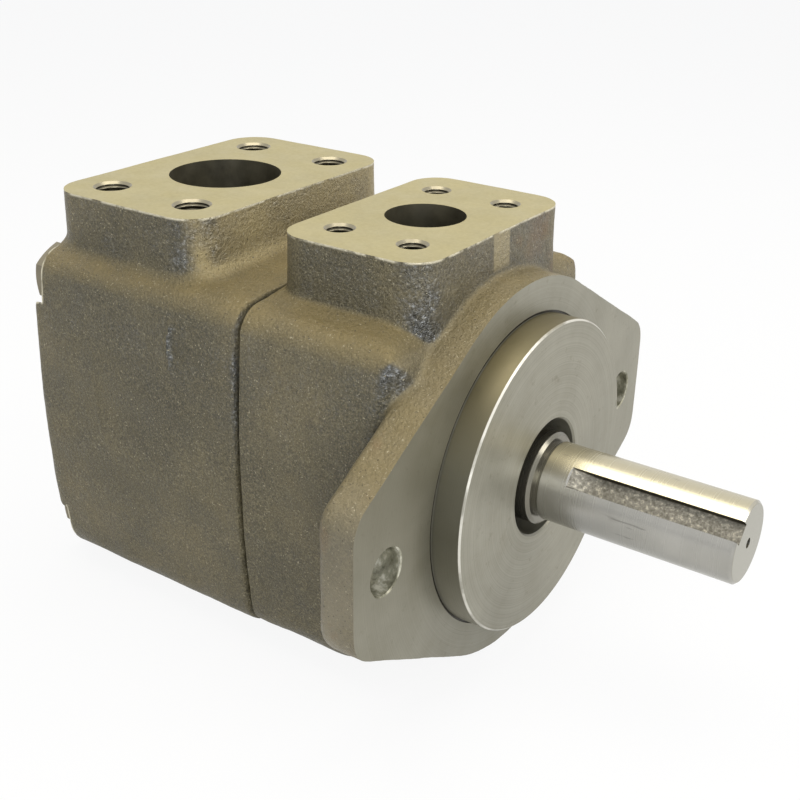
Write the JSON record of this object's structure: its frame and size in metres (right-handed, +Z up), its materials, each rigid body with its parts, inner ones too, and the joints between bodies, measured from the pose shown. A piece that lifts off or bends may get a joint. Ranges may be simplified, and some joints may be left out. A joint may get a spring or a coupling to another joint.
{
  "type": "hydraulic vane pump",
  "caption": "Cast-iron vane pump with a two-bolt pilot flange, keyed shaft, two four-bolt ports on top, and the full cartridge inside.",
  "frame": {"origin": "centre of the mounting flange face, on the shaft axis", "axes": "+X out along the drive shaft, +Z up towards the port faces, Y across the two mounting holes"},
  "size_m": [0.2356, 0.176, 0.1387],
  "materials": {
    "cast_iron": "oiled sand casting, machined faces bare",
    "bolt_steel": "plain, oiled",
    "ground_steel": "ground",
    "machined_steel": "machined",
    "bronze": "machined",
    "rubber": "moulded",
    "backup_plastic": "plain"
  },
  "bodies": {
    "housing": {"front_body": "cast_iron", "rear_cover": "cast_iron", "cover_bolts": "bolt_steel", "cover_o_ring": "rubber", "cam_ring": "machined_steel", "outlet_support_plate": "machined_steel", "inlet_support_plate": "machined_steel", "outlet_flex_plate": "bronze", "inlet_flex_plate": "bronze", "locating_pins": "machined_steel", "cartridge_screws": "machined_steel", "disc_o_ring": "rubber", "hub_o_ring": "rubber", "hub_backup_ring": "backup_plastic", "rear_bushing": "bronze", "bearing_outer_race": "machined_steel", "bearing_retaining_ring": "machined_steel", "shaft_seal_case": "machined_steel", "shaft_seal_lip": "rubber", "seal_garter_spring": "machined_steel"},
    "shaft": {"drive_shaft": "ground_steel", "rotor": "machined_steel", "vane_inserts": "machined_steel", "bearing_inner_race": "machined_steel", "shaft_retaining_ring": "machined_steel"},
    "bearing_cage": {"bearing_cage": "machined_steel", "bearing_balls": "machined_steel"},
    "vane_01_body": {"vane_01": "machined_steel"},
    "vane_02_body": {"vane_02": "machined_steel"},
    "vane_03_body": {"vane_03": "machined_steel"},
    "vane_04_body": {"vane_04": "machined_steel"},
    "vane_05_body": {"vane_05": "machined_steel"},
    "vane_06_body": {"vane_06": "machined_steel"},
    "vane_07_body": {"vane_07": "machined_steel"},
    "vane_08_body": {"vane_08": "machined_steel"},
    "vane_09_body": {"vane_09": "machined_steel"},
    "vane_10_body": {"vane_10": "machined_steel"}
  },
  "joints": [
    {"name": "shaft_spin", "type": "hinge", "parent": "housing", "child": "shaft", "pos_m": [0, 0, 0], "axis": [1, 0, 0], "continuous": true},
    {"name": "cage_spin", "type": "hinge", "parent": "housing", "child": "bearing_cage", "pos_m": [0, 0, 0], "axis": [1, 0, 0], "continuous": true},
    {"name": "vane_01_slide", "type": "slide", "parent": "shaft", "child": "vane_01_body", "axis": [0, 0.9511, 0.309], "range_m": [0, 0.0016]},
    {"name": "vane_02_slide", "type": "slide", "parent": "shaft", "child": "vane_02_body", "axis": [0, 0.5878, 0.809], "range_m": [0, 0.0044]},
    {"name": "vane_03_slide", "type": "slide", "parent": "shaft", "child": "vane_03_body", "axis": [0, 0, 1], "range_m": [0, 0.0056]},
    {"name": "vane_04_slide", "type": "slide", "parent": "shaft", "child": "vane_04_body", "axis": [0, -0.5878, 0.809], "range_m": [0, 0.0044]},
    {"name": "vane_05_slide", "type": "slide", "parent": "shaft", "child": "vane_05_body", "axis": [0, -0.9511, 0.309], "range_m": [0, 0.0016]},
    {"name": "vane_06_slide", "type": "slide", "parent": "shaft", "child": "vane_06_body", "axis": [0, -0.9511, -0.309], "range_m": [0, 0.0016]},
    {"name": "vane_07_slide", "type": "slide", "parent": "shaft", "child": "vane_07_body", "axis": [0, -0.5878, -0.809], "range_m": [0, 0.0044]},
    {"name": "vane_08_slide", "type": "slide", "parent": "shaft", "child": "vane_08_body", "axis": [0, 0, -1], "range_m": [0, 0.0056]},
    {"name": "vane_09_slide", "type": "slide", "parent": "shaft", "child": "vane_09_body", "axis": [0, 0.5878, -0.809], "range_m": [0, 0.0044]},
    {"name": "vane_10_slide", "type": "slide", "parent": "shaft", "child": "vane_10_body", "axis": [0, 0.9511, -0.309], "range_m": [0, 0.0016]}
  ],
  "couplings": [
    {"joint": "cage_spin", "follows": "shaft_spin", "ratio": 0.39647}
  ]
}
